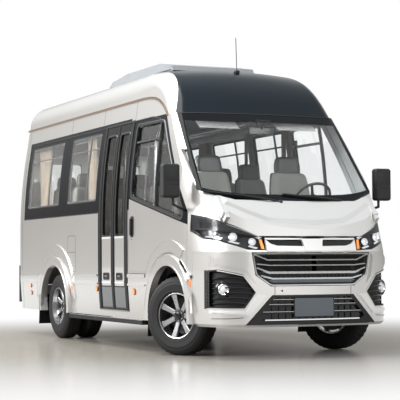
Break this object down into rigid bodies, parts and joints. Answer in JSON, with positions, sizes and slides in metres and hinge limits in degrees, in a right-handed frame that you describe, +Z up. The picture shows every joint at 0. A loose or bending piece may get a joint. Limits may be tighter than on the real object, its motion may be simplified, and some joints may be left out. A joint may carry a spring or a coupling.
{
  "type": "minibus",
  "caption": "High-roof passenger minibus with hinged cab doors, a double-leaf entrance door, rear doors, steered front wheels and twin rear wheels.",
  "frame": {"origin": "on the ground under the middle of the vehicle's overall box", "axes": "+X forward, +Y to the vehicle's left, +Z up"},
  "size_m": [6.3, 2.506, 3.2451],
  "materials": {
    "silver_paint": "gloss",
    "black_paint": "gloss",
    "black_plastic": "satin",
    "grey_plastic": "satin",
    "chassis_steel": "satin",
    "dark_glass": "gloss",
    "clear_glass": "gloss",
    "lamp": "gloss",
    "red_lamp": "gloss",
    "tyre": "matte",
    "alloy": "satin",
    "cast": "matte",
    "seat_fabric": "matte",
    "curtain": "matte"
  },
  "bodies": {
    "body": {"air_conditioner": "silver_paint", "antenna": "black_plastic", "bonnet": "silver_paint", "chassis_frame": "chassis_steel", "cross_members": "chassis_steel", "curtains": "curtain", "dashboard": "black_plastic", "engine": "cast", "floor_pan": "grey_plastic", "fog_lamps": "lamp", "front_axle": "chassis_steel", "front_bumper": "silver_paint", "front_cap": "black_paint", "front_seats": "seat_fabric", "fuel_tank": "chassis_steel", "grille": "black_paint", "headlights": "silver_paint", "lower_grille": "black_paint", "luggage_racks": "grey_plastic", "rear_axle": "cast", "rear_bumper": "black_plastic", "rear_frame": "silver_paint", "roof_panel": "silver_paint", "seats_left": "seat_fabric", "seats_right": "seat_fabric", "side_glass": "dark_glass", "side_steps": "black_plastic", "side_wall_left": "silver_paint", "side_wall_right": "silver_paint", "tail_lamps": "red_lamp", "windscreen": "clear_glass", "wipers": "black_plastic"},
    "front_door_right_body": {"front_door_right": "silver_paint", "front_door_glass_right": "dark_glass", "mirror_right": "black_paint"},
    "front_door_left_body": {"front_door_left": "silver_paint", "front_door_glass_left": "dark_glass", "mirror_left": "black_paint"},
    "entrance_front_body": {"entrance_leaf_front": "black_paint", "entrance_glass_front": "dark_glass"},
    "entrance_rear_body": {"entrance_leaf_rear": "black_paint", "entrance_glass_rear": "dark_glass"},
    "rear_door_right_body": {"rear_door_right": "silver_paint", "rear_glass_right": "dark_glass"},
    "rear_door_left_body": {"rear_door_left": "silver_paint", "rear_glass_left": "dark_glass"},
    "steering_wheel_body": {"steering_wheel": "black_plastic"},
    "knuckle_right_body": {"knuckle_right": "chassis_steel"},
    "knuckle_left_body": {"knuckle_left": "chassis_steel"},
    "front_wheel_right": {"front_tyre_right": "tyre", "front_rim_right": "alloy"},
    "front_wheel_left": {"front_tyre_left": "tyre", "front_rim_left": "alloy"},
    "rear_wheel_right": {"rear_tyres_right": "tyre", "rear_rims_right": "alloy"},
    "rear_wheel_left": {"rear_tyres_left": "tyre", "rear_rims_left": "alloy"}
  },
  "joints": [
    {"name": "steer_right", "type": "hinge", "parent": "body", "child": "knuckle_right_body", "pos_m": [2.02, -0.793, 0.3835], "axis": [0, 0, 1], "range_deg": [-62, 8]},
    {"name": "steer_left", "type": "hinge", "parent": "body", "child": "knuckle_left_body", "pos_m": [2.02, 0.793, 0.3835], "axis": [0, 0, 1], "range_deg": [-62, 8]},
    {"name": "steering_wheel_turn", "type": "hinge", "parent": "body", "child": "steering_wheel_body", "pos_m": [2.38, 0.4, 1.53], "axis": [-0.7431, 0, 0.6691], "range_deg": [-744, 96]},
    {"name": "front_wheel_right_spin", "type": "hinge", "parent": "knuckle_right_body", "child": "front_wheel_right", "pos_m": [2.02, -0.793, 0.3835], "axis": [-0.4695, 0.8829, 0], "continuous": true},
    {"name": "front_wheel_left_spin", "type": "hinge", "parent": "knuckle_left_body", "child": "front_wheel_left", "pos_m": [2.02, 0.793, 0.3835], "axis": [-0.4695, 0.8829, 0], "continuous": true},
    {"name": "rear_wheel_right_spin", "type": "hinge", "parent": "body", "child": "rear_wheel_right", "pos_m": [-1.52, -0.9, 0.3835], "axis": [0, 1, 0], "continuous": true},
    {"name": "rear_wheel_left_spin", "type": "hinge", "parent": "body", "child": "rear_wheel_left", "pos_m": [-1.52, 0.9, 0.3835], "axis": [0, 1, 0], "continuous": true},
    {"name": "front_door_right_hinge", "type": "hinge", "parent": "body", "child": "front_door_right_body", "pos_m": [2.455, -1, 1.2], "axis": [0, 0, 1], "range_deg": [0, 65]},
    {"name": "front_door_left_hinge", "type": "hinge", "parent": "body", "child": "front_door_left_body", "pos_m": [2.455, 1, 1.2], "axis": [0, 0, -1], "range_deg": [0, 65]},
    {"name": "entrance_front_hinge", "type": "hinge", "parent": "body", "child": "entrance_front_body", "pos_m": [0.862, -1, 1.2], "axis": [0, 0, 1], "range_deg": [0, 88]},
    {"name": "entrance_rear_hinge", "type": "hinge", "parent": "body", "child": "entrance_rear_body", "pos_m": [0.072, -1, 1.2], "axis": [0, 0, -1], "range_deg": [0, 88]},
    {"name": "rear_door_right_hinge", "type": "hinge", "parent": "body", "child": "rear_door_right_body", "pos_m": [-3.04, -0.8, 1.2], "axis": [0, 0, 1], "range_deg": [0, 88]},
    {"name": "rear_door_left_hinge", "type": "hinge", "parent": "body", "child": "rear_door_left_body", "pos_m": [-3.04, 0.8, 1.2], "axis": [0, 0, -1], "range_deg": [0, 88]}
  ],
  "couplings": [
    {"joint": "steer_left", "follows": "steer_right", "ratio": 1},
    {"joint": "steering_wheel_turn", "follows": "steer_right", "ratio": 12}
  ]
}
